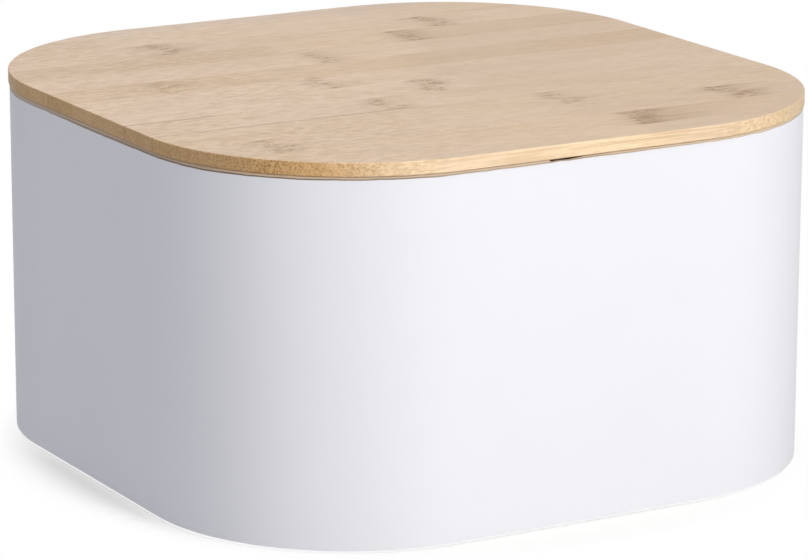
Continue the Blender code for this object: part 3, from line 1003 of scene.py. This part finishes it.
@dataclass
class SteelBox:
    """The box: a bent sheet wall with a rolled rim, a pressed base and four pads.

    Attributes:
        groups: the shared effects.
        corner_radius: outside of a corner, seen from above.
        sheet: thickness of the steel.
        rim_radius: outside of the rim, which is rolled inwards.
        rim_roll: how far round the rim is rolled.
        foot_bend: outside radius of the bend at the wall's foot.
        flange: how far the wall's foot turns in under the base.
        flat_edge: width of the flat edge round the base's raised middle.
        step_run: width of the step up to the middle.
        seam_half: half the width of the welded seam at the back.
        seam_depth: how deep the seam lies under the coat.
        rim_dip: (x, depth) points of the slight dip of the rim at the front.
        pad_edge: rounding of a pad's lower edge.
        rim_steps: facets of the rim's roll.
        bend_steps: facets of the other bends.
        pad_steps: facets round a pad.
        low: the wall's lowest corner.
        high: its highest corner.
    """

    groups: Groups
    corner_radius: float = 0.1000
    sheet: float = 0.0006
    rim_radius: float = 0.0017
    rim_roll: float = math.radians(255)
    foot_bend: float = 0.0015
    flange: float = 0.0060
    flat_edge: float = 0.0085
    step_run: float = 0.0030
    seam_half: float = 0.0008
    seam_depth: float = 0.00012
    rim_dip: tuple[tuple[float, float], ...] = (
        (-0.0200, 0.0), (-0.0185, 0.0006), (-0.0160, 0.0007), (-0.0080, 0.00045), (0.0020, 0.00025),
        (0.0100, 0.0),
    )
    pad_edge: float = 0.0008
    rim_steps: int = 24
    bend_steps: int = 8
    pad_steps: int = 64
    low: Vector = field(init=False)
    high: Vector = field(init=False)

    def __post_init__(self) -> None:
        """Reads the wall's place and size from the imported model."""
        self.low, self.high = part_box("side_wall")

    @property
    def side(self) -> float:
        """The wall's outer width and depth."""
        return self.high.x - self.low.x

    def build(self) -> None:
        """Builds and dresses the wall, the base and the pads."""
        coat = WhiteCoat()
        self._build_wall(coat.build(self.groups, "white_coat_wall", self.low.z, self.high.z))
        self._build_pan(coat.build(self.groups, "white_coat_base", 0.0, self.high.z))
        rubber = PadRubber().build(self.groups, "pad_rubber")
        for end in ("front", "back"):
            for hand in Hand:
                self._build_pad(f"foot_{end}_{hand.name.lower()}", rubber)

    def _build_wall(self, coat: Material) -> None:
        """Builds the wall: its section swept round, a seam at the back, and the sheet's thickness inwards."""
        outline = RoundedSquare(self.side, self.corner_radius)
        section = Tracer(outline.point(self.flange, self.low.z))
        section.push(AXIS_X * (self.flange - self.foot_bend))
        foot = outline.point(self.foot_bend, self.low.z + self.foot_bend)
        section.turn(foot, AXIS_Y, -QUARTER, self.bend_steps)
        section.push(AXIS_Z * (self.high.z - self.low.z - self.foot_bend - self.rim_radius))
        rim = outline.point(self.rim_radius, self.high.z - self.rim_radius)
        section.turn(rim, AXIS_Y, -self.rim_roll, self.rim_steps)
        shape = outline.sweep(section)
        self._sink_seam(shape)
        self._dip_rim(shape)
        face_out(shape, lambda face: face.normal.dot(face.calc_center_median()))
        wall = make_object("box_wall", shape)
        self._thicken(wall, -1.0)
        hand_over(wall, Body.BOX, Slot.WHITE_COAT, coat, "side_wall")

    def _sink_seam(self, shape: Shape) -> None:
        """Cuts three lines down the back of the wall and moves the middle one in.

        Args:
            shape: the wall's outer surface.
        """
        back = self.side / 2 - self.flange
        score(shape, (-self.seam_half, 0.0, self.seam_half), lambda middle: middle.y > back)
        outside = self.side / 2 - MERGE
        middle = [vert for vert in shape.verts if abs(vert.co.x) < MERGE and vert.co.y > outside]
        bmesh.ops.translate(shape, verts=middle, vec=AXIS_Y * -self.seam_depth)

    def _dip_rim(self, shape: Shape) -> None:
        """Presses the rim down a little at the front, where a thin gap shows under the lid.

        Args:
            shape: the wall's outer surface.
        """
        front = self.flange * 2 - self.side / 2
        score(shape, [place for place, _ in self.rim_dip], lambda middle: middle.y < front)
        foot = self.high.z - 4 * self.rim_radius
        for place, depth in self.rim_dip:
            ring = [
                vert for vert in shape.verts
                if abs(vert.co.x - place) < MERGE and vert.co.y < 0 and vert.co.z > foot
            ]
            for vert in ring:
                share = min(1.0, (vert.co.z - foot) / (2 * self.rim_radius))
                bmesh.ops.translate(shape, verts=[vert], vec=AXIS_Z * -depth * share)

    def _thicken(self, piece: Thing, side: float) -> None:
        """Gives an open surface the sheet's thickness: side 1 adds it in front of its faces, -1 behind."""
        solidify = piece.modifiers.new("sheet", "SOLIDIFY")
        solidify.thickness = self.sheet
        solidify.offset = side
        solidify.use_even_offset = True

    def _build_pan(self, coat: Material) -> None:
        """Builds the base: a flat edge, a rounded step and a raised middle, with the thickness upwards."""
        low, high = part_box("base_pan")
        outline = RoundedSquare(high.x - low.x, self.corner_radius - self.foot_bend)
        rise = high.z - low.z - self.sheet
        bend = (self.step_run - rise) / (2 * (math.sqrt(2) - 1))
        slope = math.pi / 4
        section = Tracer(outline.point(0.0, low.z))
        section.push(AXIS_X * -self.flat_edge)
        start = outline.point(self.flat_edge, low.z)
        section.turn(start + AXIS_Z * bend, AXIS_Y, slope, self.bend_steps)
        straight = (rise - 2 * bend * (1 - math.cos(slope))) / math.sin(slope)
        section.push(Vector((-math.cos(slope), 0.0, math.sin(slope))) * straight)
        end = start + Vector((-self.step_run, 0.0, rise))
        section.turn(end - AXIS_Z * bend, AXIS_Y, -slope, self.bend_steps)
        shape = outline.sweep(section)
        inner = [edge for edge in shape.edges if edge.is_boundary and edge.verts[0].co.z > low.z + rise / 2]
        bmesh.ops.edgeloop_fill(shape, edges=inner)
        face_out(shape, lambda face: face.normal.z)
        pan = make_object("box_base", shape)
        self._thicken(pan, 1.0)
        hand_over(pan, Body.BOX, Slot.WHITE_COAT, coat, "base_pan")

    def _build_pad(self, node: str, rubber: Material) -> None:
        """Builds one pad where its node is.

        Args:
            node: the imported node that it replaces.
            rubber: its finish.
        """
        low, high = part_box(node)
        radius = (high.x - low.x) / 2
        centre = (radius - self.pad_edge, low.z + self.pad_edge)
        edge = arc(centre, self.pad_edge, 0.0, -QUARTER, self.bend_steps)
        shape = turned([(0.0, high.z), (radius, high.z), *edge, (0.0, low.z)], self.pad_steps)
        middle = (low + high) / 2
        bmesh.ops.translate(shape, verts=shape.verts, vec=(middle.x, middle.y, 0.0))
        hand_over(make_object(f"pad_{node[5:]}", shape), Body.BOX, Slot.RUBBER, rubber, node)


# The lid

# each strip's grain starts elsewhere
SEED_START, SEED_STEP = 0.5, 1.37
GLUE_SEED, BATTEN_SEED = 30.0, 40.0


@dataclass
class BambooLid:
    """The lid: a board of glued strips on two battens, with screws.

    Attributes:
        groups: the shared effects.
        corner_radius: outside of the board's corners, seen from above.
        eased: radii of the board's lower and upper edges.
        eased_steps: facets of a rounded edge.
        rim_clearance: how far the board lies over the rim.
        glue_sink: how far the glue lies under the board's surface.
        glue: what the glue lines look like.
        batten_inset: how far the battens' ends stay from the wall's outside.
        batten_corner: radius of the corners that their ends follow, seen from above.
        batten_eased: rounding of their edges.
        batten_steps: facets of a batten's rounded edge.
        screw_head_edge: thickness of a screw's head at its edge.
        screw_radius: radius of its shank.
        screw_point: length of its point.
        screw_gap: play of a screw in its hole.
        screw_steps: facets round a screw.
        recess_width: width of the arms of the cross in its head.
        recess_span: length of the arms, tip to tip.
        recess_depth: how deep they go.
        batten: what the battens look like.
        looks: what each strip looks like, from the front.
        names: the strips' nodes, from the front.
        spans: the lowest and highest corner of each strip.
        side: the board's width and depth.
        bottom: height of its lower face.
        top: height of its upper face.
    """

    groups: Groups
    corner_radius: float = 0.1035
    eased: tuple[float, float] = (0.0007, 0.0005)
    eased_steps: int = 5
    rim_clearance: float = 0.00005
    glue_sink: float = 0.00002
    glue: Bamboo = Bamboo(tone=0.88, warmth=0.10)
    batten_inset: float = 0.0046
    batten_corner: float = 0.0954
    batten_eased: float = 0.0015
    batten_steps: int = 3
    screw_head_edge: float = 0.0003
    screw_radius: float = 0.0015
    screw_point: float = 0.0030
    screw_gap: float = 0.0003
    screw_steps: int = 48
    recess_width: float = 0.0009
    recess_span: float = 0.0034
    recess_depth: float = 0.0012
    batten: Bamboo = Bamboo(tone=0.93, warmth=0.04, along_y=True)
    looks: tuple[Bamboo, ...] = (
        # on strips 3 to 7, 9, 12 and 13 the darker right end is painted shade of the light falling off
        # towards the lid's right; on strips 1, 2, 8 and 10 it is darker wood
        Bamboo(tone=0.99, warmth=0.02, right=Dark(0.036, 0.10)),
        Bamboo(tone=0.97, warmth=0.04, first=Dark(0.0425, 1.0), trail=1.0, right=Dark(0.034, 0.11)),
        Bamboo(tone=0.99, first=Dark(0.1125, 0.8), second=Dark(-0.1317, 0.65), trail=0.7,
               right=Dark(0.020, 0.06)),
        Bamboo(tone=0.97, warmth=0.02, first=Dark(0.0359, 0.55), right=Dark(0.036, 0.06)),
        Bamboo(tone=1.01, warmth=-0.02, first=Dark(-0.0442, 0.55), right=Dark(0.000, 0.08),
               seam_end=-0.030),
        Bamboo(tone=1.05, warmth=-0.04, first=Dark(-0.0037, 0.8), right=Dark(0.020, 0.10),
               seam_end=-0.104),
        Bamboo(tone=1.04, warmth=-0.03, first=Dark(-0.0432, 0.5), right=Dark(0.010, 0.10)),
        Bamboo(tone=0.935, warmth=0.06, first=Dark(-0.1160, 0.65), right=Dark(0.020, 0.13)),
        Bamboo(tone=1.04, warmth=-0.02, first=Dark(-0.0168, 0.55), right=Dark(0.040, 0.11)),
        Bamboo(tone=0.99, warmth=0.03, first=Dark(0.0480, 0.7), left=Dark(-0.0235, 0.11),
               right=Dark(0.040, 0.17)),
        Bamboo(tone=1.02, warmth=-0.02, first=Dark(-0.0740, 0.55), second=Dark(0.0800, 0.50),
               haze=0.30),
        Bamboo(tone=1.03, warmth=-0.02, left=Dark(-0.090, 0.08), right=Dark(0.050, 0.07)),
        Bamboo(tone=1.03, warmth=-0.10, right=Dark(0.050, 0.05)),
    )
    names: list[str] = field(init=False)
    spans: list[tuple[Vector, Vector]] = field(init=False)
    side: float = field(init=False)
    bottom: float = field(init=False)
    top: float = field(init=False)

    def __post_init__(self) -> None:
        """Reads the strips' places and the board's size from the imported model."""
        self.names = [f"lid_strip_{count + 1:02d}" for count in range(len(self.looks))]
        self.spans = [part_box(name) for name in self.names]
        low, high = self.spans[0]
        for first, second in self.spans:
            low = Vector(map(min, low, first))
            high = Vector(map(max, high, second))
        self.side = high.x - low.x
        self.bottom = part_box("side_wall")[1].z + self.rim_clearance
        self.top = high.z

    def build(self) -> None:
        """Builds and dresses the strips, the glue, the battens and the screws."""
        self._build_strips()
        self._build_glue()
        self._build_battens()

    def _build_strips(self) -> None:
        """Cuts the strips from one board, so that they meet flush."""
        outline = RoundedSquare(self.side, self.corner_radius)
        board = outline.solid(self.bottom, self.top, self.eased, self.eased_steps)
        beyond = 10 * MERGE
        for count, (name, (first, second), look) in enumerate(zip(self.names, self.spans, self.looks)):
            front = first.y - (beyond if count == 0 else 0.0)
            back = second.y + (beyond if count == len(self.names) - 1 else 0.0)
            strip = make_object(f"bamboo_strip_{count + 1:02d}", slice_between(board, AXIS_Y, front, back))
            seed = count * SEED_STEP + SEED_START
            material = look.build(self.groups, f"bamboo_{count + 1:02d}", seed, first.y)
            hand_over(strip, Body.LID, Slot.BAMBOO, material, name)
        board.free()

    def _build_glue(self) -> None:
        """Fills the lines between the strips with glue, a little under the surface."""
        sink = self.glue_sink
        plate = RoundedSquare(self.side - 2 * sink, self.corner_radius - sink)
        board = plate.solid(self.bottom + sink, self.top - sink, self.eased, self.eased_steps)
        glue = bmesh.new()
        for (_, back), (front, _) in zip(self.spans, self.spans[1:]):
            line = slice_between(board, AXIS_Y, back.y, front.y)
            mesh = bpy.data.meshes.new("glue_line")
            line.to_mesh(mesh)
            line.free()
            glue.from_mesh(mesh)
            bpy.data.meshes.remove(mesh)
        board.free()
        piece = make_object("lid_glue_lines", glue)
        hand_over(piece, Body.LID, Slot.BAMBOO, self.glue.build(self.groups, "glue_line", GLUE_SEED))

    def _build_battens(self) -> None:
        """Builds the battens with their countersunk holes, and the screws in them."""
        wood = self.batten.build(self.groups, "batten_bamboo", BATTEN_SEED)
        zinc = Zinc().build(self.groups, "screw_zinc")
        wall_low, wall_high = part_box("side_wall")
        side = wall_high.x - wall_low.x - 2 * self.batten_inset
        for hand in Hand:
            name = hand.name.lower()
            low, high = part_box(f"lid_batten_{name}")
            outline = RoundedSquare(side, self.batten_corner)
            plug = outline.solid(low.z, high.z, (self.batten_eased,) * 2, self.batten_steps)
            shape = slice_between(plug, AXIS_X, low.x, high.x)
            plug.free()
            long_edges = [edge for edge in shape.edges if edge.calc_face_angle(0.0) > SMOOTH_ANGLE]
            bmesh.ops.bevel(
                shape, geom=long_edges, offset=self.batten_eased, offset_type="OFFSET",
                segments=self.batten_steps, profile=0.5, affect="EDGES", material=-1, clamp_overlap=True)
            batten = make_object(f"batten_{name}", shape)
            cutters = [self._build_screw(name, end, zinc, batten) for end in ("front", "middle", "back")]
            hand_over(batten, Body.LID, Slot.BATTEN, wood, f"lid_batten_{name}")
            for cutter in cutters:
                bpy.data.objects.remove(cutter)

    def _screw_points(self, length: float, head: float, extra: float, below: float) -> list:
        """Gives a screw's (radius, height) points, its sides moved out by extra, its face down by below."""
        head_top = self.screw_head_edge + head - self.screw_radius
        return [
            (0.0, length + extra),
            (self.screw_radius + extra, length - self.screw_point + extra),
            (self.screw_radius + extra, head_top + extra),
            (head + extra, self.screw_head_edge + extra),
            (head + extra, -below),
            (0.0, -below),
        ]

    def _build_screw(self, hand: str, end: str, zinc: Material, batten: Thing) -> Thing:
        """Builds one screw and the hole that it needs.

        Args:
            hand: left or right.
            end: front, middle or back.
            zinc: its finish.
            batten: the batten that gets the hole.

        Returns:
            The hole's cutter.
        """
        low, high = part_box(f"batten_screw_{hand}_{end}")
        head, length = (high.x - low.x) / 2, high.z - low.z
        place = Matrix.Translation(((low.x + high.x) / 2, (low.y + high.y) / 2, low.z))
        blank = turned(self._screw_points(length, head, 0.0, 0.0), self.screw_steps)
        blank.transform(place)
        screw = make_object(f"screw_{hand}_{end}", blank)
        recesses = []
        for size in ((self.recess_span, self.recess_width), (self.recess_width, self.recess_span)):
            cross = bmesh.new()
            arm = Matrix.Diagonal((*size, 2 * self.recess_depth, 1.0))
            bmesh.ops.create_cube(cross, size=1.0, matrix=place @ arm)
            recesses.append(make_object("recess", cross))
            cut_out(screw, recesses[-1])
        hand_over(screw, Body.LID, Slot.ZINC, zinc, f"batten_screw_{hand}_{end}")
        for recess in recesses:
            bpy.data.objects.remove(recess)
        hole = turned(self._screw_points(length, head, self.screw_gap, length), self.screw_steps)
        hole.transform(place)
        cutter = make_object(f"hole_{hand}_{end}", hole)
        cut_out(batten, cutter)
        return cutter


# Studio

WHITE = (1.0, 1.0, 1.0)


@dataclass(frozen=True)
class Lamp:
    """A square soft lamp that looks at the middle of the box.

    Attributes:
        name: its name.
        azimuth: where it stands: 0 is in front, 90 on the right, in degrees.
        elevation: its height over the horizon, in degrees.
        distance: how far away it stands.
        size: its side.
        level: how bright a white surface that faces it renders.
        colour: its colour.
        mirrored: whether it shows as a sheen.
    """

    name: str
    azimuth: float
    elevation: float
    distance: float
    size: float
    level: float
    colour: Colour = WHITE
    mirrored: bool = True

    def build(self, middle: Vector) -> None:
        """Builds the lamp.

        Args:
            middle: where it looks.
        """
        light = bpy.data.lights.new(self.name, "AREA")
        light.shape = "SQUARE"
        light.size = self.size
        light.energy = self.level * (math.pi * self.distance) ** 2
        light.color = self.colour
        lamp = bpy.data.objects.new(self.name, light)
        back = direction(self.azimuth, self.elevation)
        lamp.location = middle + back * self.distance
        lamp.rotation_euler = back.to_track_quat("Z", "Y").to_euler()
        lamp.visible_glossy = self.mirrored
        bpy.context.scene.collection.objects.link(lamp)
        log.info("lamp %s", self.name)


def direction(azimuth: float, elevation: float) -> Vector:
    """Gives the unit vector to an azimuth (0 in front, 90 on the right) and elevation in degrees."""
    turn, rise = math.radians(azimuth), math.radians(elevation)
    return Vector((math.sin(turn) * math.cos(rise), -math.cos(turn) * math.cos(rise), math.sin(rise)))


@dataclass(frozen=True)
class Studio:
    """A white sweep: floor, surroundings and soft lamps.

    Attributes:
        lamps: the lamps.
        ambient: how bright the surroundings light the box.
        ambient_colour: the colour of that light.
        floor_reach: half the floor's side.
        floor_tone: the floor's colour near the box.
        floor_bounce: how much light the floor throws back on the box.
        floor_glow: what is added to the floor near the box.
        fade: distances from the middle between which the floor turns plain white.
    """

    lamps: tuple[Lamp, ...] = (
        Lamp("key", azimuth=20, elevation=16.5, distance=3.0, size=1.3, level=0.572),
        Lamp("fill", azimuth=-25, elevation=25, distance=3.0, size=0.8, level=0.28),
        Lamp("side", azimuth=-110, elevation=8, distance=3.0, size=0.8, level=0.2, colour=(0.95, 0.97, 1.08)),
        Lamp("top_back", azimuth=180, elevation=80, distance=5.0, size=0.8, level=0.28),
        Lamp("top_front", azimuth=0, elevation=72, distance=5.0, size=1.0, level=0.18),
        Lamp("back", azimuth=140, elevation=6, distance=3.0, size=1.2, level=0.24, mirrored=False),
    )
    ambient: float = 0.11
    ambient_colour: Colour = (0.93, 0.96, 1.0)
    floor_reach: float = 6.0
    floor_tone: Colour = (0.985, 0.975, 0.945)
    floor_bounce: float = 0.34
    floor_glow: float = 0.05
    fade: tuple[float, float] = (0.166, 0.204)

    def build(self, middle: Vector) -> None:
        """Builds the floor, the surroundings and the lamps.

        Args:
            middle: the middle of the box.
        """
        self._build_world()
        self._build_floor()
        for lamp in self.lamps:
            lamp.build(middle)

    def _seen(self, graph: Graph) -> Socket:
        """Gives 1 for rays that see the studio itself, directly, mirrored or through glass."""
        rays = graph.node("LightPath").outputs
        seen = graph.larger(rays["Is Camera Ray"], rays["Is Glossy Ray"])
        return graph.larger(seen, rays["Is Transmission Ray"])

    def _build_world(self) -> None:
        """Makes the surroundings: white where they are seen, and a dim even light on the box."""
        world = bpy.data.worlds.new("studio")
        bpy.context.scene.world = world
        world.use_nodes = True
        graph = Graph(world.node_tree)
        background = world.node_tree.nodes["Background"]
        dim = tuple(channel * self.ambient for channel in self.ambient_colour)
        graph.fill(background, Color=graph.mix(self._seen(graph), dim, WHITE), Strength=1.0)

    def _build_floor(self) -> None:
        """Makes the floor, which is white and keeps the box's shadow."""
        shape = bmesh.new()
        bmesh.ops.create_grid(shape, x_segments=1, y_segments=1, size=self.floor_reach)
        floor = make_object("floor", shape)
        material = bpy.data.materials.new("studio_floor")
        material.use_nodes = True
        tree = material.node_tree
        tree.nodes.clear()
        graph = Graph(tree)
        rays = graph.node("LightPath").outputs
        near = graph.chain(
            graph.node("AddShader"),
            graph.fill(graph.node("BsdfDiffuse"), Color=self.floor_tone).outputs[0],
            graph.fill(graph.node("Emission"), Strength=self.floor_glow).outputs[0],
        )
        white = graph.node("Emission").outputs[0]
        away = graph.node("VectorMath", operation="LENGTH")
        graph.put(away.inputs[0], graph.place())
        shown = graph.blend(graph.ramp(away.outputs["Value"], *self.fade), near, white)
        mirrored = graph.larger(rays["Is Glossy Ray"], rays["Is Transmission Ray"])
        shown = graph.blend(mirrored, shown, white)
        bounce = graph.fill(graph.node("BsdfDiffuse"), Color=(self.floor_bounce,) * 3).outputs[0]
        graph.fill(graph.node("OutputMaterial"), Surface=graph.blend(self._seen(graph), bounce, shown))
        floor.data.materials.append(material)
        floor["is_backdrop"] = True
        log.info("floor")


@dataclass(frozen=True)
class PhotoCamera:
    """The camera, where the photograph was taken from.

    Attributes:
        azimuth: 0 is in front, negative to the left, in degrees.
        elevation: over the horizon, in degrees.
        roll: how far it is turned about its line of sight, in degrees.
        distance: how far it is from what it looks at.
        target: the point in the middle of its picture.
        lens: focal length, in mm.
        sensor: sensor width, in mm.
    """

    azimuth: float = -29.93
    elevation: float = 14.44
    roll: float = 0.163
    distance: float = 2.0102
    target: tuple[float, float, float] = (0.0015, 0.0, 0.0780)
    lens: float = 184.0
    sensor: float = 36.0

    def build(self) -> None:
        """Builds the camera and makes it the scene's."""
        data = bpy.data.cameras.new("photo_camera")
        data.lens = self.lens
        data.sensor_width = self.sensor
        camera = bpy.data.objects.new("photo_camera", data)
        back = direction(self.azimuth, self.elevation)
        right = AXIS_Z.cross(back).normalized()
        up = back.cross(right)
        level = Matrix((right, up, back)).transposed().to_4x4()
        place = Matrix.Translation(Vector(self.target) + back * self.distance)
        camera.matrix_world = place @ level @ Matrix.Rotation(math.radians(self.roll), 4, "Z")
        bpy.context.scene.collection.objects.link(camera)
        bpy.context.scene.camera = camera
        log.info("camera")


def main() -> None:
    """Builds the bread box, its studio and its camera."""
    logging.basicConfig(level=logging.INFO, format="%(message)s")
    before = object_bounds()
    bpy.context.scene.view_settings.view_transform = "Standard"
    PhotoCamera().build()
    groups = Groups()
    SteelBox(groups).build()
    BambooLid(groups).build()
    Studio().build((before[0] + before[1]) / 2)


if __name__ == "__main__":
    main()
